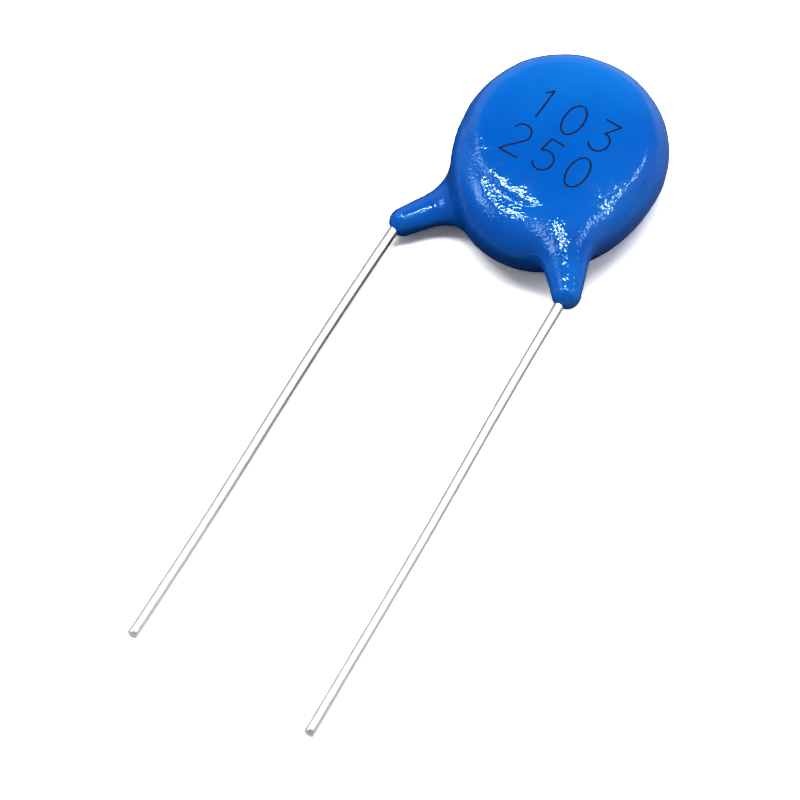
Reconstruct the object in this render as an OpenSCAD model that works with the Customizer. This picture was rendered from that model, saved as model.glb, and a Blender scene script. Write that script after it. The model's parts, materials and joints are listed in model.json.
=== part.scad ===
// Radial ceramic disc capacitor, epoxy coated, high-voltage pattern.
// The part lies on the flat of its back face: +Z points out of the front face, the
// leads leave along -Y, and the origin is under the ceramic's centre on the rest plane.

/* [Ceramic] */
// Diameter of the fired ceramic disc
ceramic_d = 11; // [9:0.1:12]
// Thickness of the ceramic disc
ceramic_t = 2; // [1.5:0.1:2.6]
// Bevel on both edges of the ceramic's rim
ceramic_bevel = 0.15; // [0.05:0.05:0.3]

/* [Electrodes] */
// Bare ceramic left round the edge of each electrode
electrode_margin = 0.4; // [0.2:0.05:0.8]
// Thickness of the fired silver electrode
electrode_t = 0.05; // [0.03:0.01:0.1]

/* [Leads] */
// Diameter of the tinned wire
lead_d = 0.65; // [0.5:0.05:0.8]
// Distance between the leads where they leave the coat
lead_pitch = 12.5; // [10:0.5:14]
// How far the pair of leads sits to the left of the disc's centre
lead_shift = 0.7; // [0:0.1:1]
// How far the inner end of each lead runs past the disc's centre
lead_grip = 2.6; // [1:0.1:3.5]
// Length of the front lead from its bend to its free end
front_lead_len = 33; // [20:0.5:38]
// Length of the back lead from its bend to its free end
back_lead_len = 33; // [20:0.5:38]
// Outward lean of each lead, in degrees
lead_splay = 0.2; // [0:0.1:2]
// Centreline radius of the bend where the front lead turns parallel
front_bend_r = 3; // [2.8:0.1:3.2]
// Centreline radius of the bend where the back lead turns parallel
back_bend_r = 1.7; // [1.6:0.1:1.8]
// How much thinner the wire gets in the bend, on its radius
bend_neck = 0.006; // [0.004:0.001:0.012]
// Gap between a lead's free end and the rest plane
lead_end_gap = 0.05; // [0:0.05:0.5]

/* [Solder] */
// Width of the solder mound along each lead
solder_w = 2.2; // [1.6:0.1:2.8]
// Solder between the lead and the electrode
solder_film = 0.05; // [0.03:0.01:0.1]
// Solder over the top of the lead
solder_cover = 0.06; // [0.03:0.01:0.15]
// How far the mound runs past the inner end of the lead
solder_inner = 0.9; // [0.5:0.1:1.2]
// How far the mound runs from the disc's centre towards the leg
solder_outer = 4.6; // [3:0.1:4.8]
// Length over which each end of the mound rounds off
solder_end = 1.3; // [0.8:0.1:1.8]

/* [Coat] */
// Coat over the top of the leads
coat_cover = 0.75; // [0.5:0.05:1.1]
// Coat round the side of the ceramic, level with the faces
coat_side = 0.45; // [0.4:0.05:0.8]
// Rounding where each face turns down at the ceramic's edge
coat_edge_r = 0.7; // [0.5:0.05:1.4]
// How far each face falls from its centre to its rim
coat_dome = 0.3; // [0.1:0.05:0.4]
// How late that fall comes: it grows with this power of the radius
dome_power = 5; // [2:1:6]
// Diameter of the flat on the back face
rest_flat_d = 6; // [4:0.5:8]

/* [Apron] */
// How far the apron's faces lie below the coat's
apron_step = 0.25; // [0.2:0.05:0.6]
// Apron beyond the side of the ceramic
apron_side = 1.3; // [0.8:0.05:1.6]
// Apron beyond the ceramic's far edge, away from the leads
apron_far = 1.5; // [0.8:0.05:2]
// Apron beyond the ceramic's near edge, where the resin ran down towards the leads
apron_near = 3.3; // [1.5:0.05:3.6]
// How far the apron sits to the right of the ceramic
apron_shift = 0.05; // [0:0.05:0.3]
// How far its near edge leans further that way, towards the front leg
apron_lean = 0.25; // [0:0.05:0.5]
// Rounding of the apron's rim
apron_edge_r = 1.8; // [1:0.05:1.9]
// Size of the fillet between the coat's edge and the apron, on the leads' side
crease_near = 0.3; // [0.2:0.1:1]
// Size of that fillet on the far side, where the crease melts away
crease_far = 1; // [0.3:0.1:1.5]
// How far from the middle, either way, the fillet goes on growing
crease_reach = 4; // [2:0.5:5]

/* [Legs] */
// How far the front leg reaches past the apron's near edge
front_leg_out = 0.85; // [0.5:0.05:3]
// How far the back leg reaches past the apron's near edge
back_leg_out = 0.2; // [0:0.05:3]
// How far past the ceramic's edge the front leg's root is centred
front_root_out = 0.7; // [0:0.05:1]
// How far past the ceramic's edge the back leg's root is centred
back_root_out = 0.1; // [0:0.05:1]
// How far each leg's root lies below the lead, towards the ceramic
leg_root_drop = 0.3; // [0:0.05:0.6]
// Half the width of the front leg at its root
front_root_r = 2.1; // [1.2:0.05:2.2]
// Half the width of the back leg at its root
back_root_r = 1.5; // [1:0.05:1.6]
// How many times wider than high the front leg is at its root
front_root_flat = 1.6; // [1:0.05:2]
// How many times wider than high the back leg is at its root
back_root_flat = 2.2; // [1:0.1:2.4]
// Coat round the front lead at the leg's tip
front_tip_skin = 0.63; // [0.3:0.01:0.7]
// Coat round the back lead at the leg's tip
back_tip_skin = 0.61; // [0.3:0.01:0.7]
// How far past the corner of its lead the front leg's tip is centred
front_tip_past = 0.1; // [0:0.05:0.3]
// How far short of the corner of its lead the back leg's tip is centred
back_tip_short = 0.4; // [0:0.05:0.6]
// Size of the fillet where the front leg runs out of the apron
front_blend = 1.4; // [1:0.1:2.2]
// Size of the fillet where the back leg runs out of the apron
back_blend = 1.9; // [1:0.1:2.2]

/* [Hidden] */
$fn = 64;

// Heights, from the middle of the ceramic outwards
lead_r = lead_d / 2;
electrode_h = ceramic_t / 2 + electrode_t;
lead_h = electrode_h + solder_film + lead_r;
coat_h = lead_h + lead_r + coat_cover;

// Angle by which each end of a bend runs on inside the straight lead, as a share of the
// angle at which the thinner bend would come out of it
overrun_share = 0.8;
function bend_overrun(bend_r) = acos(1 - bend_neck / bend_r) * overrun_share;

// Reach of the coat and of the apron from the disc's centre
ceramic_r = ceramic_d / 2;
coat_r = ceramic_r + coat_side;
side_r = ceramic_r + apron_side;
far_r = ceramic_r + apron_far;
near_r = ceramic_r + apron_near;
apron_h = coat_h - apron_step;

// The back face's dome is cut off at z = 0 to leave the flat that the part lies on
flat_depth = coat_dome * pow(rest_flat_d / 2 / coat_r, dome_power);
mid_z = coat_h - flat_depth;

// Each lead runs radially over the disc to a corner, then turns parallel to the other.
// A lead is [inner end, corner, free end].
function lead_route(side, reach, length) =
    let (height = mid_z + side * lead_h,
         corner = [side * lead_pitch / 2 - lead_shift, -reach, height],
         radial = unit([corner[0], corner[1], 0]),
         drop = height - lead_r - lead_end_gap,
         run = sqrt(length * length - drop * drop),
         lean = side * lead_splay)
    [[0, 0, height] - lead_grip * radial,
     corner,
     corner + [run * sin(lean), -run * cos(lean), -drop]];

front_route = lead_route(1, near_r + front_leg_out, front_lead_len);
back_route = lead_route(-1, near_r + back_leg_out, back_lead_len);

// A leg is [root centre, tip centre, root radius, tip radius, root flatness]; its root
// sits at the ceramic's edge and its tip near the corner of the lead.
function leg(side, route, root_out, root_r, root_flat, tip_past, tip_skin) =
    let (corner = route[1],
         reach = (ceramic_r + root_out) / norm([corner[0], corner[1]]),
         root = [reach * corner[0], reach * corner[1], corner[2] - side * leg_root_drop])
    [root, corner + tip_past * unit(corner - root), root_r, lead_r + tip_skin, root_flat];

front_leg = leg(1, front_route, front_root_out, front_root_r, front_root_flat,
                front_tip_past, front_tip_skin);
back_leg = leg(-1, back_route, back_root_out, back_root_r, back_root_flat,
               -back_tip_short, back_tip_skin);

// The coat is where a field is negative. A rounded disc covers the ceramic; a thinner
// apron, drawn out on the lead side, and two tapered legs are the resin that ran down.
// A smooth minimum joins them and leaves a fillet, as the wet resin does.
function unit(v) = v / norm(v);
function clamp(x, low, high) = min(max(x, low), high);
function mix(a, b, share) = a + (b - a) * share;
function smooth_min(a, b, size) =
    min(a, b) - pow(max(size - abs(a - b), 0), 2) / (4 * size);

// Rounded disc with one reach to the sides and others to the far and the near edge, its
// faces falling slightly to the rim
function disc_field(p, side, far, near, height, edge_r) =
    let (y = p[1] * side / (p[1] < 0 ? near : far),
         radius = norm([p[0], y]),
         out = radius - (side - edge_r),
         up = abs(p[2] - mid_z) - (height - edge_r - coat_dome * pow(radius / side, dome_power)))
    min(max(out, up), 0) + norm([max(out, 0), max(up, 0)]) - edge_r;

// Tapered capsule, flattened at its root and round at its tip
function leg_field(p, leg) =
    let (axis = leg[1] - leg[0],
         share = clamp((p - leg[0]) * axis / (axis * axis), 0, 1),
         off = p - leg[0] - share * axis)
    norm([off[0], off[1], off[2] * mix(leg[4], 1, share)]) - mix(leg[2], leg[3], share);

function coat_field(p) =
    let (disc = disc_field(p, coat_r, coat_r, coat_r, coat_h, coat_edge_r),
         shift = apron_shift + apron_lean * max(-p[1], 0) / near_r,
         apron = disc_field(p - [shift, 0, 0], side_r, far_r, near_r, apron_h, apron_edge_r),
         front = smooth_min(apron, leg_field(p, front_leg), front_blend),
         both = smooth_min(front, leg_field(p, back_leg), back_blend),
         melted = clamp((p[1] / crease_reach + 1) / 2, 0, 1))
    smooth_min(disc, both, mix(crease_near, crease_far, melted));

// The mound's ends are turned in steps of this angle
mound_turn = 22.5;

// The skin is measured in one upright half-plane after another. Rows over a face are
// dropped onto it at even radii, out to the start of the edge's rounding. From there the
// side is walked, round the rim to the same radius on the back. A point of a half-plane
// is [radius, height].
face_rows = 5;
side_rows = 21;
back_rows = 3;
drops = 3;
walk_step = 0.12;
probe = 0.01;
face_edge = coat_r - coat_edge_r;
function field_in_plane(q, dir) = coat_field([q[0] * dir[0], q[0] * dir[1], q[1]]);
function drop_step(q, dir) =
    let (here = field_in_plane(q, dir))
    q - [0, here * probe / (field_in_plane(q + [0, probe], dir) - here)];
function dropped(q, dir, times = drops) =
    times == 0 ? q : dropped(drop_step(q, dir), dir, times - 1);
function on_face_at(radius, side, dir) = dropped([radius, mid_z + side * coat_h], dir);
function slope(q, dir) =
    let (here = field_in_plane(q, dir))
    [field_in_plane(q + [probe, 0], dir) - here,
     field_in_plane(q + [0, probe], dir) - here] / probe;
function settle(q, dir) =
    let (grad = slope(q, dir))
    q - grad * field_in_plane(q, dir) / (grad * grad);
function next_point(q, dir) =
    let (grad = unit(slope(q, dir)))
    settle(q + walk_step * [grad[1], -grad[0]], dir);
function side_walk(dir) =
    concat([for (q = on_face_at(face_edge, 1, dir); q[0] > face_edge - probe || q[1] > mid_z;
                 q = next_point(q, dir)) q],
           [on_face_at(face_edge - walk_step, -1, dir)]);

// A walk is thinned to even rows. Turning counts as length, so tight curves get more
// rows than straight walls do.
turn_weight = 1.1;
function turn(walk, i) =
    i == 0 ? 0 : acos(clamp(unit(walk[i] - walk[i - 1]) * unit(walk[i + 1] - walk[i]),
                            -1, 1)) * PI / 180;
function progress(walk) =
    [for (i = 0, done = 0; i < len(walk);
          done = done + (i + 1 < len(walk)
                         ? norm(walk[i + 1] - walk[i]) + turn_weight * turn(walk, i) : 0),
          i = i + 1) done];
function thinned(path, count, dir) =
    let (done = progress(path),
         last = len(path) - 1)
    [for (row = [1:count])
        let (target = done[last] * row / (count + 1))
        settle([lookup(target, [for (i = [0:last]) [done[i], path[i][0]]]),
                lookup(target, [for (i = [0:last]) [done[i], path[i][1]]])], dir)];
function column(angle) =
    let (dir = [cos(angle), sin(angle)])
    [for (q = concat([for (i = [1:face_rows]) on_face_at(face_edge * i / face_rows, 1, dir)],
                     thinned(side_walk(dir), side_rows, dir),
                     [for (i = [back_rows:-1:1])
                         on_face_at((face_edge - walk_step) * i / back_rows, -1, dir)]))
        [q[0] * dir[0], q[0] * dir[1], q[1]]];

// Columns crowd together round each leg and spread out over the rest of the rim
leg_columns = 14;
leg_crowding = 1.5;
leg_fan = 24;
near_columns = 5;
far_columns = 44;
function plan_angle(p) = atan2(p[1], p[0]);
function columns_round(angle) =
    [for (i = [-leg_columns:leg_columns])
        angle + sign(i) * leg_fan * pow(abs(i) / leg_columns, leg_crowding)];
function columns_between(from, to, count) =
    [for (i = [1:count - 1]) mix(from, to, i / count)];
back_angle = plan_angle(back_leg[1]);
front_angle = plan_angle(front_leg[1]);
column_angles =
    concat(columns_round(back_angle),
           columns_between(back_angle + leg_fan, front_angle - leg_fan, near_columns),
           columns_round(front_angle),
           columns_between(front_angle + leg_fan, back_angle + 360 - leg_fan, far_columns));

module coat_skin() {
    columns = len(column_angles);
    rings = face_rows + side_rows + back_rows;
    points = concat([for (angle = column_angles) each column(angle)],
                    [[0, 0, mid_z + coat_h], [0, 0, mid_z - coat_h]]);
    top = columns * rings;
    bottom = top + 1;
    function at(column, row) = (column % columns) * rings + row;
    // each four-sided patch is split along its shorter diagonal
    function patch(a, b, c, d) =
        norm(points[a] - points[c]) < norm(points[b] - points[d])
        ? [[a, b, c], [a, c, d]] : [[a, b, d], [b, c, d]];
    polyhedron(points, concat(
        [for (i = [0:columns - 1]) for (j = [0:rings - 2])
            each patch(at(i, j), at(i + 1, j), at(i + 1, j + 1), at(i, j + 1))],
        [for (i = [0:columns - 1]) [top, at(i + 1, 0), at(i, 0)]],
        [for (i = [0:columns - 1]) [bottom, at(i, rings - 1), at(i + 1, rings - 1)]]),
        convexity = 6);
}

// Turns the z axis to a direction, with the x axis as near another as it can be
module aim(origin, z_dir, x_dir = [0, 0, 1]) {
    z = unit(z_dir);
    x = unit(x_dir - (x_dir * z) * z);
    y = cross(z, x);
    multmatrix([[x[0], y[0], z[0], origin[0]],
                [x[1], y[1], z[1], origin[1]],
                [x[2], y[2], z[2], origin[2]],
                [0, 0, 0, 1]]) children();
}

// A lead: straight over the disc, one bend at the leg's tip, straight to its free end.
// The bend draws the wire down a little, and its ends run into the straight lengths.
module lead(route, bend_r) {
    before = unit(route[1] - route[0]);
    after = unit(route[2] - route[1]);
    normal = unit(cross(before, after));
    angle = acos(before * after);
    trim = bend_r * tan(angle / 2);
    overrun = bend_overrun(bend_r);
    outward = cross(before, normal);
    wire(route[0], route[1] - trim * before);
    wire(route[1] + trim * after, route[2]);
    aim(route[1] - trim * before - bend_r * outward, normal, outward)
        rotate([0, 0, -overrun]) rotate_extrude(angle = angle + 2 * overrun)
            translate([bend_r, 0]) circle(lead_r - bend_neck);
}

module wire(from, to) {
    aim(from, to - from) cylinder(h = norm(to - from), r = lead_r);
}

// An electrode or the ceramic's own face: a disc between two heights off the middle
module on_face(side, from_h, to_h) {
    translate([0, 0, mid_z + min(side * from_h, side * to_h)])
        linear_extrude(to_h - from_h) children();
}

module electrode(side) {
    on_face(side, ceramic_t / 2, electrode_h) circle(ceramic_r - electrode_margin);
}

// Solder: a round-backed mound along the lead, cut off flat at the electrode
module mound(side, route) {
    along = unit([route[1][0], route[1][1], 0]);
    height = solder_film + lead_d + solder_cover;
    radius = (solder_w * solder_w / 4 + height * height) / (2 * height);
    length = lead_grip + solder_inner + solder_outer;
    half = [for (a = [0:mound_turn:90]) [radius * sin(a), solder_end * (1 - cos(a))]];
    intersection() {
        aim([0, 0, mid_z + side * (electrode_h + height - radius)]
            - (lead_grip + solder_inner) * along, along, [0, 0, -side])
            rotate_extrude() polygon(concat(half,
                [for (i = [len(half) - 1:-1:0]) [half[i][0], length - half[i][1]]]));
        on_face(side, electrode_h, 2 * electrode_h) circle(ceramic_d);
    }
}

module solder(side, route) {
    difference() {
        mound(side, route);
        wire(route[0], route[1]);
    }
}

module ceramic_disc() {
    half_t = ceramic_t / 2;
    color("#8c6a4a") translate([0, 0, mid_z]) rotate_extrude()
        polygon([[0, -half_t], [ceramic_r - ceramic_bevel, -half_t],
                 [ceramic_r, ceramic_bevel - half_t], [ceramic_r, half_t - ceramic_bevel],
                 [ceramic_r - ceramic_bevel, half_t], [0, half_t]]);
}

module front_electrode() { color("#c9ccd0") electrode(1); }
module back_electrode() { color("#c9ccd0") electrode(-1); }
module front_solder() { color("#a9adb2") solder(1, front_route); }
module back_solder() { color("#a9adb2") solder(-1, back_route); }
module front_lead() { color("#d5d8da") lead(front_route, front_bend_r); }
module back_lead() { color("#d5d8da") lead(back_route, back_bend_r); }

// Everything under the plane that the part lies on
module below_rest_plane() {
    reach = 2 * near_r;
    translate([-reach, -reach, -ceramic_t]) cube([2 * reach, 2 * reach, ceramic_t]);
}

module epoxy_coating() {
    color("#0a62d0") difference() {
        coat_skin();
        below_rest_plane();
        ceramic_disc();
        for (side = [-1, 1]) electrode(side);
        mound(1, front_route);
        mound(-1, back_route);
        front_lead();
        back_lead();
    }
}

epoxy_coating();
ceramic_disc();
front_electrode();
back_electrode();
front_solder();
back_solder();
front_lead();
back_lead();
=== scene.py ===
# %% [markdown]
# # A dip-coated disc capacitor in Blender
#
# The real part is a ceramic disc with a wire soldered across each face. It was dipped
# in blue epoxy and baked. The resin hugs the ceramic, runs down towards the leads, and
# draws out along each wire into a short tapered leg.
#
# The construction model already holds every solid at its real size. This notebook
# gives it its looks: a smooth skin, the ink on its face, drawn wires with cut ends, and
# a finish for every surface. All shapes are worked out with numpy, in millimetres, and
# turned to metres when a mesh is made.

# %% Tools and the fixed frame
import json

import bpy
import numpy as np
from mathutils import Matrix

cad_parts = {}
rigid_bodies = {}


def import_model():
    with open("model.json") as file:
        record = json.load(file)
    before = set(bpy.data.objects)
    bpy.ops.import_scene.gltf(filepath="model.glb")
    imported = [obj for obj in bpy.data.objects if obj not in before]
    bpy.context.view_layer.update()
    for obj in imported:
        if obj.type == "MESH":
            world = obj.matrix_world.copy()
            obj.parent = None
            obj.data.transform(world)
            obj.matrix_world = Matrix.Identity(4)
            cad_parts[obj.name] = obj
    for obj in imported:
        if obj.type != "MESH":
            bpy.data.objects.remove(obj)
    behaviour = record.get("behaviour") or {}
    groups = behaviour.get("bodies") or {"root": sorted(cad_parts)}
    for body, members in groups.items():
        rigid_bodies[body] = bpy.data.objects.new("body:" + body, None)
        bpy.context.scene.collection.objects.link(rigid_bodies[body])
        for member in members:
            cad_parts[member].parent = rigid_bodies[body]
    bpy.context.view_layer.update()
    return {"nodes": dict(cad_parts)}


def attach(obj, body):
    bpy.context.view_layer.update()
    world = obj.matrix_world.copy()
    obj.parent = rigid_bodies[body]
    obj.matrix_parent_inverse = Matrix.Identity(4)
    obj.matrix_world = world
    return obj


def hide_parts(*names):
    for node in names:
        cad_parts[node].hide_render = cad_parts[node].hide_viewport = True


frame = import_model()
nodes = frame["nodes"]
MM = 0.001
print("frame nodes:", ", ".join(sorted(nodes)))

# %% [markdown]
# ## The sizes that drive everything
#
# Each number is a real size that a maker would give. They are the same as the solids',
# so the skin made here lies exactly on the solid coat. The coat is measured from the
# middle of the ceramic, and the part lies on the flat of its back face at z = 0.

# %% Driving sizes, in millimetres
ceramic_r, ceramic_t, electrode_t = 5.5, 2.0, 0.05
lead_r, lead_pitch, lead_shift = 0.325, 12.5, 0.7
front_lead_len, back_lead_len, lead_splay = 33.0, 33.0, 0.2
front_bend_r, back_bend_r, lead_end_gap, solder_film = 3.0, 1.7, 0.05, 0.05
coat_cover, coat_side, coat_edge_r, rest_flat_d = 0.75, 0.45, 0.7, 6.0
coat_dome, dome_power = 0.3, 5
apron_step, apron_side, apron_far, apron_near = 0.25, 1.3, 1.5, 3.3
apron_shift, apron_lean, apron_edge_r = 0.05, 0.25, 1.8
crease_near, crease_far, crease_reach, leg_root_drop = 0.3, 1.0, 4.0, 0.3
front_leg_out, front_root_out, front_root_r, front_root_flat = 0.85, 0.7, 2.1, 1.6
front_tip_past, front_tip_skin, front_blend = 0.1, 0.63, 1.4
back_leg_out, back_root_out, back_root_r, back_root_flat = 0.2, 0.1, 1.5, 2.2
back_tip_past, back_tip_skin, back_blend = -0.4, 0.61, 1.9

lead_h = ceramic_t / 2 + electrode_t + solder_film + lead_r
coat_h = lead_h + lead_r + coat_cover
coat_r = ceramic_r + coat_side
apron_h = coat_h - apron_step
side_r, far_r, near_r = (ceramic_r + more
                         for more in (apron_side, apron_far, apron_near))
mid_z = coat_h - coat_dome * (rest_flat_d / 2 / coat_r) ** dome_power
print(f"coat {2 * coat_r:.1f} mm across its face, {mid_z + coat_h:.2f} mm thick")

# %% [markdown]
# ## Where the two wires run
#
# Each wire crosses its face of the ceramic on a line through the centre, leaves over
# the rim, and bends to run parallel to its partner, 12.5 mm away. A route is three
# points: the middle of the disc, the corner inside the leg's tip, and the cut end.


# %% Lead routes
def unit(vector):
    """A vector of length one: v / |v|."""
    return np.asarray(vector, float) / np.linalg.norm(vector)


def lead_route(side, reach, length):
    """Disc's centre, corner and cut end of the lead on one side (+1 front, -1 back).

    The corner is half the pitch out and `reach` down from the centre, at lead height.
    From there the wire falls in a straight line until it nearly touches the table.
    """
    height = mid_z + side * lead_h
    corner = np.array([side * lead_pitch / 2 - lead_shift, -reach, height])
    drop = height - lead_r - lead_end_gap
    run, lean = np.sqrt(length**2 - drop**2), side * np.radians(lead_splay)
    end = corner + [run * np.sin(lean), -run * np.cos(lean), -drop]
    return np.array([[0, 0, height], corner, end])


front_route = lead_route(+1, near_r + front_leg_out, front_lead_len)
back_route = lead_route(-1, near_r + back_leg_out, back_lead_len)
print("corners:", front_route[1].round(2), back_route[1].round(2))

# %% [markdown]
# ## The coat as a field
#
# A dipped skin has no profile to sweep and no edges to bevel: everything melts into
# everything else. Sculpting would do, but a *field* is exact. It is a function that is
# negative inside the resin and positive outside, and the skin is where it is zero.
#
# - A rounded disc stands for the resin over the ceramic.
# - A thinner, egg-shaped disc is the apron that ran down past the ceramic's edge. The
#   two meet in the soft crease that catches the light.
# - A tapered capsule round each wire is a leg.
#
# A *smooth minimum* joins them and leaves a fillet as wet resin does.


# %% The field
def smooth_min(a, b, size):
    """min(a, b), less (size - |a - b|)^2 / 4 size where they are closer than size."""
    return np.minimum(a, b) - np.maximum(size - np.abs(a - b), 0) ** 2 / (4 * size)


def disc_field(p, side, far, near, height, edge_r):
    """Distance to a rounded disc that reaches `far` up and `near` down from its centre.

    The plan radius is measured after the disc is squeezed back to a circle; the faces
    fall by coat_dome, late and then ever faster; the rim is a quarter round of edge_r.
    """
    y = p[..., 1] * side / np.where(p[..., 1] < 0, near, far)
    radius = np.hypot(p[..., 0], y)
    out = radius - (side - edge_r)
    fall = coat_dome * (radius / side) ** dome_power
    up = np.abs(p[..., 2] - mid_z) - (height - edge_r - fall)
    corner = np.hypot(np.maximum(out, 0), np.maximum(up, 0))
    return np.minimum(np.maximum(out, up), 0) + corner - edge_r


def make_leg(side, route, root_out, root_r, root_flat, tip_past, tip_skin):
    """Root centre, tip centre, root radius, tip radius and flatness of one leg.

    The root lies `root_out` past the ceramic's edge on the line to the corner, and the
    tip `tip_past` beyond the corner.
    """
    corner = route[1]
    root = corner * (ceramic_r + root_out) / np.hypot(corner[0], corner[1])
    root[2] = corner[2] - side * leg_root_drop
    tip = corner + tip_past * unit(corner - root)
    return root, tip, root_r, lead_r + tip_skin, root_flat


def leg_field(p, leg):
    """Distance to the leg's axis, less a radius that tapers from root to tip.

    Heights count `flat` times at the root and once at the tip, so the leg starts as a
    flattened ridge and ends as a round bead.
    """
    root, tip, root_r, tip_r, flat = leg
    axis = tip - root
    share = np.clip((p - root) @ axis / (axis @ axis), 0, 1)
    off = p - root - share[..., None] * axis
    off[..., 2] *= flat + (1 - flat) * share
    return np.linalg.norm(off, axis=-1) - (root_r + (tip_r - root_r) * share)


front_leg = make_leg(+1, front_route, front_root_out, front_root_r, front_root_flat,
                     front_tip_past, front_tip_skin)
back_leg = make_leg(-1, back_route, back_root_out, back_root_r, back_root_flat,
                    back_tip_past, back_tip_skin)


def coat_field(p):
    """The whole coat: disc, apron and two legs, joined by smooth minimums.

    The apron leans towards the front leg as it runs down. The crease between it and
    the disc is tight on the leads' side and melts away on the far side.
    """
    disc = disc_field(p, coat_r, coat_r, coat_r, coat_h, coat_edge_r)
    shifted = p.copy()
    shifted[..., 0] -= apron_shift + apron_lean * np.maximum(-p[..., 1], 0) / near_r
    apron = disc_field(shifted, side_r, far_r, near_r, apron_h, apron_edge_r)
    run_down = smooth_min(apron, leg_field(p, front_leg), front_blend)
    run_down = smooth_min(run_down, leg_field(p, back_leg), back_blend)
    melted = np.clip((p[..., 1] / crease_reach + 1) / 2, 0, 1)
    return smooth_min(disc, run_down, crease_near + (crease_far - crease_near) * melted)


def outward(p, probe=0.01):
    """The skin's outward direction: the field's slope along x, y and z, made unit."""
    steps = probe * np.eye(3)
    slope = np.stack([coat_field(p + s) - coat_field(p - s) for s in steps], axis=-1)
    return slope / np.linalg.norm(slope, axis=-1, keepdims=True)


print("field at the centre of the front face:",
      round(float(coat_field(np.array([0, 0, mid_z + coat_h]))), 4))

# %% [markdown]
# ## Meshes from grids of points
#
# Every shape below is a grid: rows along one parameter, columns round the other. One
# helper joins neighbouring points into four-sided faces and closes both ends with a
# fan, so each mesh is watertight. Its volume tells whether the faces point outwards.


# %% A grid that closes round its columns becomes a mesh
def closed_mesh(name, grid, start, end):
    """A mesh from a grid of points (rows, columns, xyz) in millimetres.

    Column i is joined to column i + 1 and the last to the first; the first row is
    fanned to the point `start` and the last to `end`.
    """
    rows, columns = grid.shape[:2]
    points = np.vstack([grid.reshape(-1, 3), start, end])
    here = np.arange(columns)
    after = np.roll(here, -1)
    row = columns * np.arange(rows - 1)[:, None]
    quads = np.stack([row + here, row + after, row + columns + after,
                      row + columns + here], axis=-1).reshape(-1, 4)
    first, last = rows * columns, rows * columns + 1
    bottom = columns * (rows - 1)
    fans = np.vstack([np.stack([np.full(columns, first), after, here], axis=-1),
                      np.stack([np.full(columns, last), bottom + here, bottom + after],
                               axis=-1)])
    triangles = np.vstack([quads[:, [0, 1, 2]], quads[:, [0, 2, 3]], fans])
    a, b, c = (points[triangles[:, k]] for k in range(3))
    volume = np.einsum("ij,ij->", a, np.cross(b, c)) / 6
    if volume < 0:
        quads, fans = quads[:, ::-1], fans[:, ::-1]
    mesh = bpy.data.meshes.new(name)
    mesh.from_pydata((points * MM).tolist(), [], quads.tolist() + fans.tolist())
    mesh.polygons.foreach_set("use_smooth", np.ones(len(mesh.polygons), bool))
    piece = bpy.data.objects.new(name, mesh)
    bpy.context.scene.collection.objects.link(piece)
    print(f"{name}: {len(quads) * 2 + len(fans)} triangles, {abs(volume):.2f} mm3")
    return piece


# %% [markdown]
# ## The skin of the coat
#
# The skin is walked in one upright half-plane after another, like the segments of an
# orange: out over the front face, round the rim and back under the part. Marching a
# field on a block of cells would also find it, but a walk gives even rows that follow
# the shape, which shades far more smoothly.
#
# Columns crowd together round the legs, where a narrow form stands far from the
# centre. Rows bunch up wherever the walk turns sharply.

# %% Columns: one for each direction from the disc's centre
leg_columns, leg_fan, leg_crowding = 70, np.radians(24), 1.5
near_columns, far_columns = 30, 140


def columns_round(angle):
    """Directions within leg_fan of a leg, set off by the share to the 1.5th power."""
    share = np.linspace(-1, 1, 2 * leg_columns + 1)
    return angle + leg_fan * np.sign(share) * np.abs(share) ** leg_crowding


back_angle = np.arctan2(back_leg[1][1], back_leg[1][0])
front_angle = np.arctan2(front_leg[1][1], front_leg[1][0])
angles = np.concatenate([
    columns_round(back_angle),
    np.linspace(back_angle + leg_fan, front_angle - leg_fan, near_columns + 1)[1:-1],
    columns_round(front_angle),
    np.linspace(front_angle + leg_fan, back_angle + 2 * np.pi - leg_fan,
                far_columns + 1)[1:-1]])
spokes = np.stack([np.cos(angles), np.sin(angles)], axis=-1)
print("columns:", len(angles))


# %% Walking down the side in every half-plane at once
settling_steps = 6


def in_space(walk):
    """Points [radius, height] of each column's half-plane, as x, y, z."""
    return np.concatenate([walk[..., :1] * spokes, walk[..., 1:]], axis=-1)


def slope_in_plane(walk, probe=0.01):
    """The field's slope along radius and along height, by central differences."""
    steps = probe * np.eye(2)
    return np.stack([coat_field(in_space(walk + s)) - coat_field(in_space(walk - s))
                     for s in steps], axis=-1) / (2 * probe)


def settle(walk):
    """Newton's step onto the skin: q - slope * field / |slope|^2."""
    slope = slope_in_plane(walk)
    value = coat_field(in_space(walk))[..., None]
    return walk - slope * value / np.sum(slope**2, axis=-1, keepdims=True)


def face_rows(side, radii):
    """Rows over one face: each radius in turn, dropped onto the skin along z."""
    rows = np.empty((len(radii), len(angles), 2))
    rows[..., 0] = np.asarray(radii)[:, None]
    rows[..., 1] = mid_z + side * coat_h
    for _ in range(settling_steps):
        rise = slope_in_plane(rows)[..., 1]
        rows[..., 1] -= coat_field(in_space(rows)) / rise
    return rows


face_edge = coat_r - coat_edge_r
face_count, side_count, back_count, walk_step, turn_weight = 36, 120, 24, 0.06, 1.1
face = face_rows(+1, face_edge * np.arange(1, face_count + 1) / face_count)
back = face_rows(-1, face_edge * np.arange(back_count, 0, -1) / back_count)

steps = [face[-1]]
most_steps = 500
while len(steps) < most_steps and np.any((steps[-1][:, 0] > face_edge)
                                         | (steps[-1][:, 1] > mid_z)):
    slope = slope_in_plane(steps[-1])
    slope /= np.linalg.norm(slope, axis=-1, keepdims=True)
    ahead = steps[-1] + walk_step * np.stack([slope[:, 1], -slope[:, 0]], axis=-1)
    steps.append(settle(ahead))
walk = np.array(steps)
print("steps down the side:", len(walk))


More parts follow.
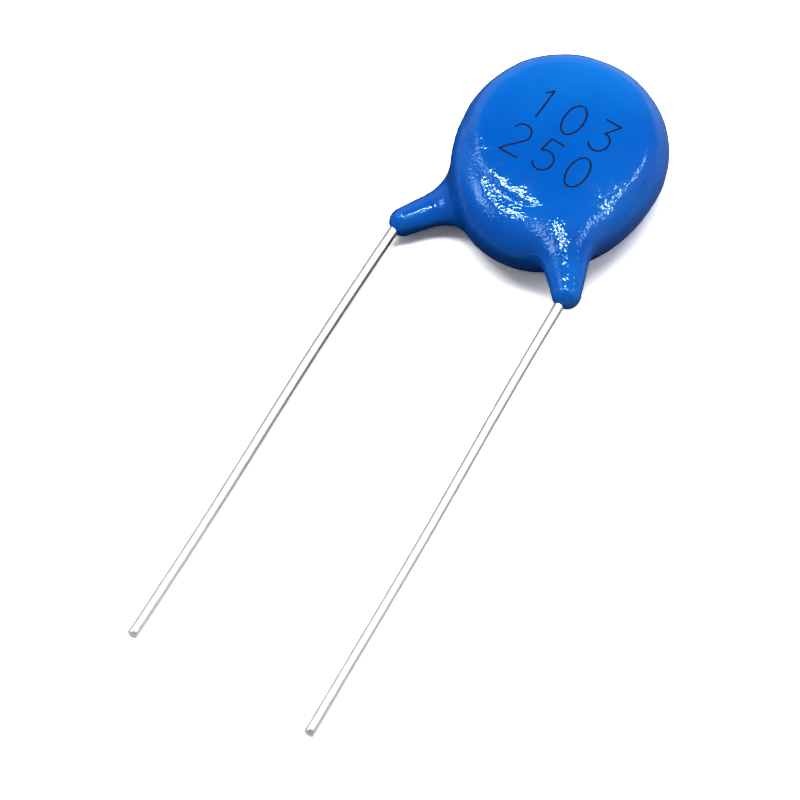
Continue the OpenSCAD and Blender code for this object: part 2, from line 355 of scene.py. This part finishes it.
# %% Rows: even steps of length plus turning
def spread_rows(walk, count):
    """`count` points from a walk's start to the back face's edge, evenly by progress.

    Progress is the length walked plus turn_weight times the angle turned. All columns
    are looked up in one interpolation: each gets its own stretch of one long ruler.
    """
    move = np.diff(walk, axis=0)
    length = np.linalg.norm(move, axis=-1)
    heading = np.unwrap(np.arctan2(move[..., 1], move[..., 0]), axis=0)
    turning = np.abs(np.diff(heading, axis=0, prepend=heading[:1]))
    progress = np.vstack([np.zeros(walk.shape[1]),
                          np.cumsum(length + turn_weight * turning, axis=0)])
    under = (walk[..., 1] < mid_z) & (walk[..., 0] < face_edge)
    stop = np.argmax(under, axis=0)
    column = np.arange(walk.shape[1])
    before, after = walk[stop - 1, column, 0], walk[stop, column, 0]
    share = (before - face_edge) / (before - after)
    total = progress[stop - 1, column] * (1 - share) + progress[stop, column] * share
    ruler = column * (progress.max() + 1)
    target = (ruler + total * np.arange(1, count + 1)[:, None] / (count + 1)).T.ravel()
    marks = (ruler + progress).T.ravel()
    rows = [np.interp(target, marks, walk[..., k].T.ravel()) for k in range(2)]
    return np.stack(rows, axis=-1).reshape(-1, count, 2).transpose(1, 0, 2)


side = settle(settle(spread_rows(walk, side_count)))
skin = in_space(np.concatenate([face, side, back]))
print("largest miss of the skin, mm:", f"{np.abs(coat_field(skin)).max():.6f}")

# %% [markdown]
# ## The small unevenness of a dipped skin
#
# Resin that sets while it hangs is never quite even. It keeps shallow swells, a few
# thousandths of a millimetre deep, and they bend the edges of every reflection. They
# belong in the mesh, because they show in the outline of a highlight from any side. A
# sum of waves in seeded directions gives them, and every run gives the same ones.

# %% Swells in the skin
rng = np.random.default_rng(11)
swell_count = 60
swell_ways = rng.normal(size=(swell_count, 3))
swell_ways /= np.linalg.norm(swell_ways, axis=-1, keepdims=True)
swell_lengths = 0.9 * 4.0 ** rng.random(swell_count)
swell_starts = 2 * np.pi * rng.random(swell_count)
swell_depth = 0.0008


def swells(p):
    """Sum of sines along seeded directions, each swell_depth x its own length deep."""
    waves = p @ (2 * np.pi * swell_ways / swell_lengths[:, None]).T + swell_starts
    return (np.sin(waves) * swell_depth * swell_lengths).sum(axis=-1)


def with_swells(p):
    """The skin moved along its outward direction by the swells, and kept above z = 0."""
    moved = p + outward(p) * swells(p)[..., None]
    moved[..., 2] = np.maximum(moved[..., 2], 0)
    return moved


poles = np.array([[0, 0, mid_z + coat_h], [0, 0, mid_z - coat_h]])
for _ in range(settling_steps):
    poles[:, 2] -= coat_field(poles) * [1, -1]  # both closing points go onto the skin
poles = with_swells(poles)
coat = closed_mesh("coat", with_swells(skin), poles[0], poles[1])
print("swells, thousandths of a mm:", (1000 * swells(skin).std()).round(2))

# %% [markdown]
# ## The wires
#
# A tinned wire has no detail but its line: it leaves the leg in one tight bend, runs
# nearly straight with a slight bow from the reel, and ends in a square cut. A circle
# carried along a path gives it, with enough sides to look round close up.


# %% A wire along a path
def wire_path(route, grip, bend_r, bow):
    """Points down the middle of a wire, and their distance from its inner end.

    A straight run over the disc, an arc of bend_r from one heading to the next, then a
    straight run with a bow: a sum of sines of the share of the way to the end.
    """
    before, after = unit(route[1] - route[0]), unit(route[2] - route[1])
    angle = np.arccos(before @ after)
    trim = bend_r * np.tan(angle / 2)
    inward = unit(after - (after @ before) * before)
    start = route[0] - grip * unit(before * [1, 1, 0])
    turn = np.linspace(0, angle, 24)[:, None]
    bend = (route[1] - trim * before
            + bend_r * (np.sin(turn) * before + (1 - np.cos(turn)) * inward))
    share = np.linspace(0, 1, 97)[1:, None]
    run = bend[-1] + share * (route[2] - bend[-1])
    sideways = unit(np.cross(after, [0, 0, 1]))
    waves = np.sin(np.pi * share * np.arange(1, len(bow) + 1)) @ np.asarray(bow)
    path = np.vstack([start, bend, run - waves[:, None] * sideways])
    return path, np.r_[0, np.cumsum(np.linalg.norm(np.diff(path, axis=0), axis=-1))]


def tube(name, path, along, radius, sides=48, cut=0.03):
    """A circle of `radius` carried along a path, its ends eased by a chamfer of `cut`.

    Point = path + radius * (cos a * sideways + sin a * upwards), with both directions
    square to the path. The share of the way round and the distance along in
    millimetres go into the UV map, for marks that run along the wire.
    """
    ahead = np.gradient(path, axis=0)
    ahead /= np.linalg.norm(ahead, axis=-1, keepdims=True)
    sideways = np.cross(ahead, [0, 0, 1])
    sideways /= np.linalg.norm(sideways, axis=-1, keepdims=True)
    upwards = np.cross(sideways, ahead)
    ends = [0, 0, -1, -1]
    rims = np.array([radius - cut, radius, radius, radius - cut])
    centres = np.vstack([path[0], path[0] + cut * ahead[0], path[1:-1],
                         path[-1] - cut * ahead[-1], path[-1]])
    radii = np.r_[rims[:2], np.full(len(path) - 2, radius), rims[2:]]
    frame_at = np.r_[0, 0, np.arange(1, len(path) - 1), len(path) - 1, len(path) - 1]
    turn = 2 * np.pi * np.arange(sides)[:, None] / sides
    grid = centres[:, None] + radii[:, None, None] * (
        np.cos(turn) * sideways[frame_at, None] + np.sin(turn) * upwards[frame_at, None])
    piece = closed_mesh(name, grid, centres[0], centres[-1])

    # The UV map: share of the way round, and millimetres along. A face that closes the
    # circle counts on past 1, so that its picture isn't squeezed.
    round_share = np.tile(np.arange(sides) / sides, len(centres))
    distance = np.repeat(np.r_[along[0], along[0] + cut, along[1:-1],
                               along[-1] - cut, along[-1]], sides)
    mesh = piece.data
    corner = np.empty(len(mesh.loops), int)
    mesh.loops.foreach_get("vertex_index", corner)
    u = np.r_[round_share, 0.5, 0.5][corner]
    v = np.r_[distance, along[0], along[-1]][corner]
    first = np.empty(len(mesh.polygons), int)
    mesh.polygons.foreach_get("loop_start", first)
    owner = np.searchsorted(first, np.arange(len(corner)), side="right") - 1
    crosses = np.maximum.reduceat(u, first) - np.minimum.reduceat(u, first) > 0.6
    u = np.where(crosses[owner] & (u < 0.5), u + 1, u)
    layer = mesh.uv_layers.new(name="UVMap")
    layer.data.foreach_set("uv", np.stack([u, v], axis=-1).ravel())
    return piece


lead_grip = 2.6
front_path, front_along = wire_path(front_route, lead_grip, front_bend_r,
                                    (0.045, -0.04, -0.02))
back_path, back_along = wire_path(back_route, lead_grip, back_bend_r,
                                  (-0.05, -0.08, 0.0))
front_wire = tube("front_wire", front_path, front_along, lead_r)
back_wire = tube("back_wire", back_path, back_along, lead_r)
print("wire lengths, mm:", front_along[-1].round(1), back_along[-1].round(1))

# %% [markdown]
# ## Plain figures on the face
#
# A real coat carries its values in thin strokes. Here they are plain round numbers.
# A text object laid on the face would bring a font's outlines with it. Here each figure
# is one pen line, carried over the face as a flat bead: thin enough to read as ink, but
# still a closed form that seats in the skin.


# %% Pen lines for the figures, in a cell one wide and one high
def arc(centre, radii, start, end, count=14):
    """Points of an ellipse's arc, between two angles in degrees."""
    turn = np.radians(np.linspace(start, end, count))
    return np.array(centre) + np.stack([np.cos(turn), np.sin(turn)], axis=-1) * radii


pen_lines = {
    "0": arc((0.5, 0.5), (0.42, 0.5), 90, 450, 40),
    "1": np.array([[0.28, 0.8], [0.55, 1.0], [0.55, 0.0]]),
    "2": np.vstack([arc((0.48, 0.72), (0.4, 0.28), 165, -25, 18),
                    [[0.05, 0], [0.95, 0]]]),
    "3": np.vstack([[[0.1, 1.0], [0.88, 1.0], [0.45, 0.6]],
                    arc((0.45, 0.31), (0.43, 0.31), 80, -150, 20)]),
    "5": np.vstack([[[0.85, 1.0], [0.22, 1.0], [0.13, 0.56]],
                    arc((0.45, 0.32), (0.43, 0.32), 125, -150, 20)]),
}
figure_w, figure_h, figure_advance, line_advance = 1.55, 2.35, 2.25, 3.1
figures_centre, figures_turn = np.array([0.12, -0.46]), np.radians(-4)
print("pen lines for:", ", ".join(pen_lines))


# %% Lines laid over the face
def finely(line, step=0.05):
    """A pen line with points every `step` millimetres."""
    length = np.r_[0, np.cumsum(np.linalg.norm(np.diff(line, axis=0), axis=-1))]
    at = np.linspace(0, length[-1], max(int(length[-1] / step), 2) + 1)
    return np.stack([np.interp(at, length, line[:, k]) for k in range(2)], axis=-1)


def on_face(flat):
    """x, y points dropped onto the front face, swells and all."""
    p = np.concatenate([flat, np.full(flat.shape[:-1] + (1,), mid_z + coat_h)], axis=-1)
    for _ in range(settling_steps):
        p[..., 2] -= coat_field(p)
    return p + outward(p) * swells(p)[..., None]


def figure_line(text_row, place, figure):
    """A figure's pen line at its place in the block of figures, turned on the face."""
    cell = pen_lines[figure] * [figure_w, figure_h]
    x = (place - 1) * figure_advance - figure_w / 2
    y = (0.5 - text_row) * line_advance - figure_h / 2
    turned = np.array([[np.cos(figures_turn), np.sin(figures_turn)],
                       [-np.sin(figures_turn), np.cos(figures_turn)]])
    return figures_centre + (cell + [x, y]) @ turned


def ink_bead(name, line, half_width=0.065, height=0.012):
    """A flat bead along a pen line: the skin's point, out by height * sin of the turn,
    and aside by half_width * cos of it, with both ends drawn in by a half circle."""
    line = finely(line)
    ahead = np.gradient(line, axis=0)
    ahead /= np.linalg.norm(ahead, axis=-1, keepdims=True)
    aside = np.stack([-ahead[:, 1], ahead[:, 0]], axis=-1)
    length = np.r_[0, np.cumsum(np.linalg.norm(np.diff(line, axis=0), axis=-1))]
    near_end = np.minimum(length, length[-1] - length)
    short_of = 1 - np.minimum(near_end / half_width, 1)
    width = half_width * np.sqrt(np.clip(1 - short_of**2, 0.02, 1))
    turn = 2 * np.pi * np.arange(12) / 12
    flat = line[:, None] + width[:, None, None] * np.cos(turn)[:, None] * aside[:, None]
    grid = on_face(flat)
    grid[..., 2] += height * np.sin(turn)
    return closed_mesh(name, grid, grid[0].mean(axis=0), grid[-1].mean(axis=0))


figures = [ink_bead(f"figure_{text_row}_{place}", figure_line(text_row, place, figure))
           for text_row, text in enumerate(("103", "250"))
           for place, figure in enumerate(text)]

# %% [markdown]
# ## Shader maths as Python
#
# Building a material node by node is slow to read. A small class wraps a socket, so
# that `1 - mask * 0.5` adds its Math nodes by itself. Colours never go through it:
# they use Mix nodes. Everything else comes from one method, `node`.


# %% A value in a material
class Value:
    """A number socket. Arithmetic on it adds Math nodes to its material."""

    def __init__(self, tree, socket):
        self.tree, self.socket = tree, socket

    def maths(self, operation, *inputs):
        """A Math node with this value or others as its inputs."""
        return self.tree.node("ShaderNodeMath", {"operation": operation},
                              dict(enumerate(inputs)))

    def __add__(self, other):
        return self.maths("ADD", self, other)

    def __sub__(self, other):
        return self.maths("SUBTRACT", self, other)

    def __rsub__(self, other):
        return self.maths("SUBTRACT", other, self)

    def __mul__(self, other):
        return self.maths("MULTIPLY", self, other)

    __radd__, __rmul__ = __add__, __mul__

    def between(self, low, high):
        """0 below `low`, 1 above `high`, and a smooth step between them."""
        return self.tree.node("ShaderNodeMapRange", {"interpolation_type": "SMOOTHSTEP"},
                              {"Value": self, "From Min": low, "From Max": high})


# %% A tree of nodes
class Tree:
    """A node tree, and the one method that adds nodes to it."""

    def __init__(self, tree):
        self.tree = tree
        tree.nodes.clear()

    def node(self, kind, settings=None, inputs=None, output=0):
        """Adds a node: its settings first, then values or links for its inputs."""
        made = self.tree.nodes.new(kind)
        for name, setting in (settings or {}).items():
            setattr(made, name, setting)
        for name, value in (inputs or {}).items():
            if isinstance(value, Value):
                self.tree.links.new(value.socket, made.inputs[name])
            else:
                made.inputs[name].default_value = value
        return Value(self, made.outputs[output]) if len(made.outputs) else None

    def mix(self, share, a, b):
        """Colour a where share is 0, colour b where it is 1."""
        return self.node("ShaderNodeMix", {"data_type": "RGBA"},
                         {0: share, 6: a, 7: b}, output=2)

    def object_place(self):
        """The place in the object's own coordinates, in metres."""
        return self.node("ShaderNodeTexCoord", output="Object")

    def vector(self, operation, a, b):
        """A Vector Math node that gives a number, such as a distance."""
        return self.node("ShaderNodeVectorMath", {"operation": operation},
                         {0: a, 1: b}, output="Value")

    def noise(self, place, per_mm, detail=2.0, roughness=0.5):
        """Cloudy noise with `per_mm` lumps to a millimetre."""
        return self.node("ShaderNodeTexNoise", None,
                         {"Vector": place, "Scale": per_mm / MM, "Detail": detail,
                          "Roughness": roughness})

    def bump(self, height, depth_mm):
        """A normal bent by a height from 0 to 1, `depth_mm` deep."""
        return self.node("ShaderNodeBump", None, {
            "Height": height, "Distance": depth_mm * MM, "Strength": 1.0})


# %% A finish and its surface
def finish(name):
    """A new material and its tree."""
    material = bpy.data.materials.new(name)
    material.use_nodes = True
    return material, Tree(material.node_tree)


def surface(tree, **inputs):
    """The Principled surface of a material; _ in a name stands for a space."""
    shader = tree.node("ShaderNodeBsdfPrincipled", None,
                       {key.replace("_", " "): value for key, value in inputs.items()})
    tree.node("ShaderNodeOutputMaterial", None, {"Surface": shader})


# %% [markdown]
# ## Blue epoxy: its colour
#
# The resin is coloured through. Its blue is painted lighter on the side away from the
# front leg, towards the top of the disc: painted light, where the lamp above and behind
# the part lights the face more.
# Round the coat's walls, 6.4 to 10 mm out from the axis, the blue is painted deeper:
# painted shade, where the walls turn away from the lamps.
# A painted texture could hold this, but distances on Object coordinates say the same
# with no image. A slow noise keeps the tone from being even, and a few dark specks are
# dust that the resin took in.

# %% The epoxy's colour
epoxy, t = finish("blue_epoxy")
place = t.object_place()
plain_blue, pale_and_lit_blue = (0.0006, 0.142, 0.72, 1), (0.0080, 0.262, 0.96, 1)
painted_shade_blue, dust = (0.0005, 0.108, 0.60, 1), (0.002, 0.03, 0.12, 1)
away_from_front_leg = (-0.49, 0.87, 0)
up_the_disc = t.vector("DOT_PRODUCT", place, away_from_front_leg)
on_table = t.node("ShaderNodeVectorMath", {"operation": "MULTIPLY"},
                  {0: place, 1: (1, 1, 0)})
from_axis = t.vector("DISTANCE", on_table, (0, 0, 0))
depth = t.noise(place, 0.16, detail=1.0)
# painted light: the blue is lighter towards the top of the disc, where the lamp behind
# lights it more; a slow noise adds a random tone
random_tone_and_painted_light = depth.between(0.35, 0.65) * 0.2 + up_the_disc.between(0, 5.5 * MM) * 0.6
# painted shade: the blue is deeper on the walls, 6.4 to 10 mm out from the axis, which
# turn away from the lamps
painted_wall_shade = (from_axis.between(6.4 * MM, 8.0 * MM)
         * (1 - from_axis.between(8.5 * MM, 10.0 * MM)))
blue = t.mix(random_tone_and_painted_light, plain_blue, pale_and_lit_blue)
blue = t.mix(painted_wall_shade * 0.85, blue, painted_shade_blue)
speck_cell = t.node("ShaderNodeTexVoronoi", None, {"Vector": place, "Scale": 1.4 / MM})
speck = 1 - speck_cell.between(0.02, 0.035)
blue = t.mix(speck * 0.6, blue, dust)
print("epoxy, nodes for the colour:", len(t.tree.nodes))

# %% [markdown]
# ## Blue epoxy: its gloss
#
# The resin is glossy, but not as glass is. Over the disc it set lying still and is
# nearly smooth. Round the shoulder and on the legs, where it ran and dragged, it has an
# orange peel: dents a few tenths of a millimetre across that break every highlight into
# grains. They are too fine for the mesh, so a Bump node makes them, and the distance
# from the disc's axis says where they start. A blue tint on the reflections stands for
# light that comes back through the clear top of the resin.

# %% The epoxy's gloss
peel = t.noise(place, 3.5, detail=1.0)
grain = t.noise(place, 6.0, detail=0.5)
coarse = from_axis.between(4.5 * MM, 5.6 * MM) * 0.88 + 0.12
dent = t.bump((peel * 0.25 + grain * 0.75 - 0.5) * coarse, 0.030)
haze = t.noise(place, 0.6, detail=2.0)
surface(t, Base_Color=blue, Roughness=haze * 0.06 + 0.04, Normal=dent, IOR=1.45,
        Specular_Tint=(0.52, 0.85, 1.0, 1))
coat.data.materials.append(epoxy)
print("epoxy, nodes in all:", len(t.tree.nodes))

# %% [markdown]
# ## Ink
#
# The figures are dark and matt: the pigment takes the gloss off the resin below it. A
# mask in the epoxy's own material could draw them too, but they are pieces, so a plain
# finish of their own is enough. A fine noise makes the ink lie a little patchily.

# %% The ink's finish
ink, t = finish("dark_ink")
place = t.object_place()
patchy = t.noise(place, 12.0, detail=2.0).between(0.35, 0.75)
ink_shade = t.mix(patchy, (0.002, 0.010, 0.045, 1), (0.003, 0.020, 0.09, 1))
surface(t, Base_Color=ink_shade, Roughness=patchy * 0.15 + 0.45, Specular_IOR_Level=0.06)
for figure in figures:
    figure.data.materials.append(ink)
print("figures inked:", len(figures))

# %% [markdown]
# ## Tinned wire
#
# Tin over copper or steel is a soft, slightly grey mirror. Drawing the wire leaves
# faint lines along it. The shader's anisotropy could smear the highlights that way, but
# lines that can be seen close up need a pattern. So a noise is stretched: many lumps
# round the wire for each one along it. It reads the wire's UV map, which holds the way
# round and the way along.

# %% The wire's finish
tinned, t = finish("tinned_wire")
wire_uv = t.node("ShaderNodeTexCoord", output="UV")
drawn = t.node("ShaderNodeMapping", None, {"Vector": wire_uv, "Scale": (24, 0.35, 1)})
lines = t.node("ShaderNodeTexNoise", None,
               {"Vector": drawn, "Scale": 1.0, "Detail": 2.0})
cloud = t.noise(t.object_place(), 1.2, detail=2.0)
tin = t.mix(cloud.between(0.3, 0.7), (0.74, 0.745, 0.75, 1), (0.83, 0.835, 0.84, 1))
surface(t, Base_Color=tin, Metallic=1.0, Roughness=lines * 0.12 + cloud * 0.08 + 0.22,
        Normal=t.bump(lines, 0.004))
for wire in (front_wire, back_wire):
    wire.data.materials.append(tinned)
print("wires finished, nodes:", len(t.tree.nodes))

# %% [markdown]
# ## What the coat hides
#
# The ceramic, its fired silver and the solder can't be seen, but a reader who takes
# the coat away should find them finished: biscuit-brown ceramic with fine pores, dull
# brushed silver, and solder with the frosty look of slow cooling.

# %% Finishes inside
fired, t = finish("fired_ceramic")
pores = t.noise(t.object_place(), 6.0, detail=4.0)
biscuit = t.mix(pores.between(0.35, 0.65), (0.20, 0.11, 0.06, 1), (0.30, 0.18, 0.10, 1))
surface(t, Base_Color=biscuit, Roughness=pores * 0.2 + 0.6, Normal=t.bump(pores, 0.01))

silver, t = finish("fired_silver")
screen = t.noise(t.object_place(), 10.0, detail=3.0)
paste = t.mix(screen, (0.62, 0.62, 0.63, 1), (0.74, 0.74, 0.75, 1))
surface(t, Base_Color=paste, Metallic=0.9, Roughness=screen * 0.2 + 0.4,
        Normal=t.bump(screen, 0.003))

solder, t = finish("solder")
frost = t.noise(t.object_place(), 5.0, detail=4.0)
lead_tin = t.mix(frost, (0.50, 0.51, 0.53, 1), (0.66, 0.67, 0.69, 1))
surface(t, Base_Color=lead_tin, Metallic=1.0, Roughness=frost * 0.25 + 0.25,
        Normal=t.bump(frost, 0.006))

inside = {"ceramic_disc": fired, "front_electrode": silver, "back_electrode": silver,
          "front_solder": solder, "back_solder": solder}
for node_name, material in inside.items():
    nodes[node_name].data.materials.clear()
    nodes[node_name].data.materials.append(material)
print("hidden pieces finished:", ", ".join(inside))

# %% [markdown]
# ## Which piece stands for which solid
#
# The coat and both wires take the place of their plain solids. The figures are new
# pieces, and everything rides on the one body that the part has.

# %% Pieces and solids
for piece, node_name, slot in ((coat, "epoxy_coating", "epoxy"),
                               (front_wire, "front_lead", "tinned_wire"),
                               (back_wire, "back_lead", "tinned_wire")):
    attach(piece, "root")
    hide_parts(node_name)
for figure in figures:
    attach(figure, "root")
print("pieces that ride on the body:", 3 + len(figures))

# %% [markdown]
# ## Camera
#
# A long lens from far away, as for a catalogue picture: the wires stay nearly parallel.
# The camera stands on a line from its target, found from a compass angle and a height
# angle, and looks straight back along it. A Track To constraint could aim it as well,
# but three axes worked out in numpy leave nothing to be brought up to date.

# %% The camera
azimuth, elevation, roll = np.radians([29.43, 61.75, -0.08])
target = np.array([-0.194, -20.724, mid_z])
camera_distance, sensor_mm, focal_pixels, frame_pixels = 314.28, 36.0, 5046.4, 800
backwards = np.array([np.sin(azimuth) * np.cos(elevation),
                      -np.cos(azimuth) * np.cos(elevation), np.sin(elevation)])
level = np.array([np.cos(azimuth), np.sin(azimuth), 0])
upright = np.cross(backwards, level)
across = level * np.cos(roll) + upright * np.sin(roll)
above = upright * np.cos(roll) - level * np.sin(roll)
turned = Matrix(np.stack([across, above, backwards], axis=-1).tolist()).to_4x4()
camera_data = bpy.data.cameras.new("camera")
camera_data.lens = focal_pixels * sensor_mm / frame_pixels
camera_data.sensor_width = sensor_mm
camera = bpy.data.objects.new("camera", camera_data)
stand = Matrix.Translation((target + camera_distance * backwards) * MM)
camera.matrix_world = stand @ turned
bpy.context.scene.collection.objects.link(camera)
bpy.context.scene.camera = camera
print("lens, mm:", round(camera_data.lens, 1))

# %% [markdown]
# ## The table
#
# A plain white sheet, large beside the part, which keeps its soft shadow. A shadow
# catcher could stand in for it, but that needs a see-through background, which is a
# setting of the render and not of the scene.
#
# Each kind of ray gets the white that suits it. The camera sees a colour so pale that
# all but the shadow is pure white. Light that the sheet throws back at the part is
# weaker, and weakest close in, so the coat's lower walls keep their deep blue. What the
# wires mirror is a painted light grey: away from the part the sheet glows for mirror
# rays only, as a sheet that is itself lit would look.

# %% The floor
floor_half = 600.0
mesh = bpy.data.meshes.new("floor")
mesh.from_pydata([(x * floor_half * MM, y * floor_half * MM, 0)
                  for x, y in ((-1, -1), (1, -1), (1, 1), (-1, 1))], [], [(0, 1, 2, 3)])
floor = bpy.data.objects.new("floor", mesh)
bpy.context.scene.collection.objects.link(floor)


def grey(level):
    """A colour with the same level of red, green and blue."""
    return (level, level, level, 1)


white_sheet, t = finish("white_sheet")
seen = t.node("ShaderNodeLightPath", output="Is Camera Ray")
glossy = t.node("ShaderNodeLightPath", output="Is Glossy Ray")
dim_centre = (-4.6 * MM, -6.0 * MM, 0)
from_centre = t.vector("DISTANCE", t.object_place(), dim_centre)
thrown_back = t.mix(from_centre.between(15 * MM, 32 * MM), grey(0.05), grey(0.52))
sheet = t.mix(seen, thrown_back, grey(2.85))
# painted light: away from the part the sheet glows a light grey that only mirror rays
# see
painted_glow = t.mix(glossy * from_centre.between(9 * MM, 20 * MM), grey(0), grey(0.25))
surface(t, Base_Color=sheet, Roughness=0.9, Specular_IOR_Level=0.0, Emission_Color=painted_glow,
        Emission_Strength=1.0)
mesh.materials.append(white_sheet)
print("floor, mm across:", 2 * floor_half)

# %% [markdown]
# ## Light
#
# A studio lights a glossy part in two steps, and so does this scene. Wide soft boxes
# give the tone: a long one overhead, a little behind the part, a weak one on the left,
# and a low one on the right, which opens up the far rim. They are hidden from
# reflections. Four small, bright boxes then draw the highlights, and light nothing
# else: the grained band along the coat's lower shoulder, the line down the front leg's
# ridge, and the band on the right. What the face mirrors is left dark, so that its blue
# stays deep.
#
# One big box could do both jobs, but then each highlight would move whenever the tone
# is changed. All places are given in the camera's own directions, because a highlight
# lies where the surface mirrors a lamp to the camera.

# %% Soft boxes
right = np.array([np.cos(azimuth), np.sin(azimuth), 0])
front = np.array([np.sin(azimuth), -np.cos(azimuth), 0])


def soft_box(name, to_right, to_camera, height, width, depth, radiance, swing=0):
    """A rectangular lamp that faces the part.

    Its place is given in the camera's own directions: millimetres to the right, towards
    the camera and up. Its long side is swung by degrees, so that its left end goes
    back. Watts = pi x area x radiance.
    """
    centre = to_right * right + to_camera * front + np.array([0, 0, height])
    facing = unit(centre)
    swung = np.cos(np.radians(swing)) * right + np.sin(np.radians(swing)) * front
    tangent = unit(swung - (swung @ facing) * facing)
    lamp = bpy.data.lights.new(name, "AREA")
    lamp.shape, lamp.size, lamp.size_y = "RECTANGLE", width * MM, depth * MM
    lamp.energy = radiance * np.pi * lamp.size * lamp.size_y
    holder = bpy.data.objects.new(name, lamp)
    axes = np.stack([tangent, np.cross(facing, tangent), facing], axis=-1)
    turned = Matrix(axes.tolist()).to_4x4()
    holder.matrix_world = Matrix.Translation(centre * MM) @ turned
    bpy.context.scene.collection.objects.link(holder)
    return holder


# %% The lamps of this studio
for name, place, width, depth, radiance, swing, shines in (
        ("overhead_strip", (-40, -100, 420), 560, 130, 7.4, 0, False),
        ("back_shine", (-50, -128, 427), 136, 38, 80.0, 5, True),
        ("middle_shine", (66, -76, 439), 50, 24, 40.0, 58, True),
        ("right_shine", (243, 58, 374), 30, 150, 64.0, 0, True),
        ("edge_shine", (324, -58, 306), 160, 30, 22.0, 45, True),
        ("left_box", (-400, 0, 240), 180, 200, 1.2, 0, False),
        ("right_box", (380, -140, 100), 180, 200, 4.5, 0, False)):
    lamp = soft_box(name, *place, width, depth, radiance, swing)
    lamp.visible_glossy, lamp.visible_diffuse = shines, not shines
print("lamps:", len(bpy.data.lights))

# %% [markdown]
# ## The room
#
# The room round the table is what a mirror shows where no lamp is, and the wires are
# mirrors all round. It is a weak grey, with a dark part where the face looks, and with
# large soft lights: a strong one on the left for the pale patch on the front leg's
# flank, the others for the edges of the coat and of the wires. A picture of a studio
# could be wrapped round the scene instead, but a few soft glows in fixed directions
# need no picture. The camera sees plain white, and the part is lit by a weak even grey.

# %% The world
world = bpy.data.worlds.new("studio")
bpy.context.scene.world = world
world.use_nodes = True
t = Tree(world.node_tree)
way = t.node("ShaderNodeTexCoord", output="Generated")


def glow(to_right, to_camera, reach):
    """1 in one direction, falling smoothly to 0 where the view turns away by `reach`.

    The turn is measured straight between the tips of the two unit directions.
    """
    upwards = np.sqrt(1 - to_right**2 - to_camera**2)
    towards = to_right * right + to_camera * front + np.array([0, 0, upwards])
    return 1 - t.vector("DISTANCE", way, tuple(towards)).between(0, reach)


room_grey, face_dark, fill_grey = 0.22, 0.02, 0.12
mirrored = (1 - glow(0.00, -0.47, 0.55)) * room_grey + face_dark
for to_right, to_camera, reach, radiance in (
        (-0.62, -0.22, 0.28, 11.0), (-0.58, -0.72, 0.55, 0.85), (0.00, -0.92, 0.50, 0.7),
        (0.30, -0.25, 0.45, 0.2), (0.76, 0.16, 0.42, 0.9), (0.97, 0.05, 0.50, 0.55)):
    mirrored = glow(to_right, to_camera, reach) * radiance + mirrored
glossy = t.node("ShaderNodeLightPath", output="Is Glossy Ray")
seen = t.node("ShaderNodeLightPath", output="Is Camera Ray")
level = glossy * mirrored + (1 - glossy) * fill_grey
level = level * (1 - seen) + seen
room = t.node("ShaderNodeBackground", None, {"Color": (1, 1, 1, 1), "Strength": level})
t.node("ShaderNodeOutputWorld", None, {"Surface": room})
bpy.context.scene.view_settings.view_transform = "Standard"
print("room, nodes:", len(t.tree.nodes))
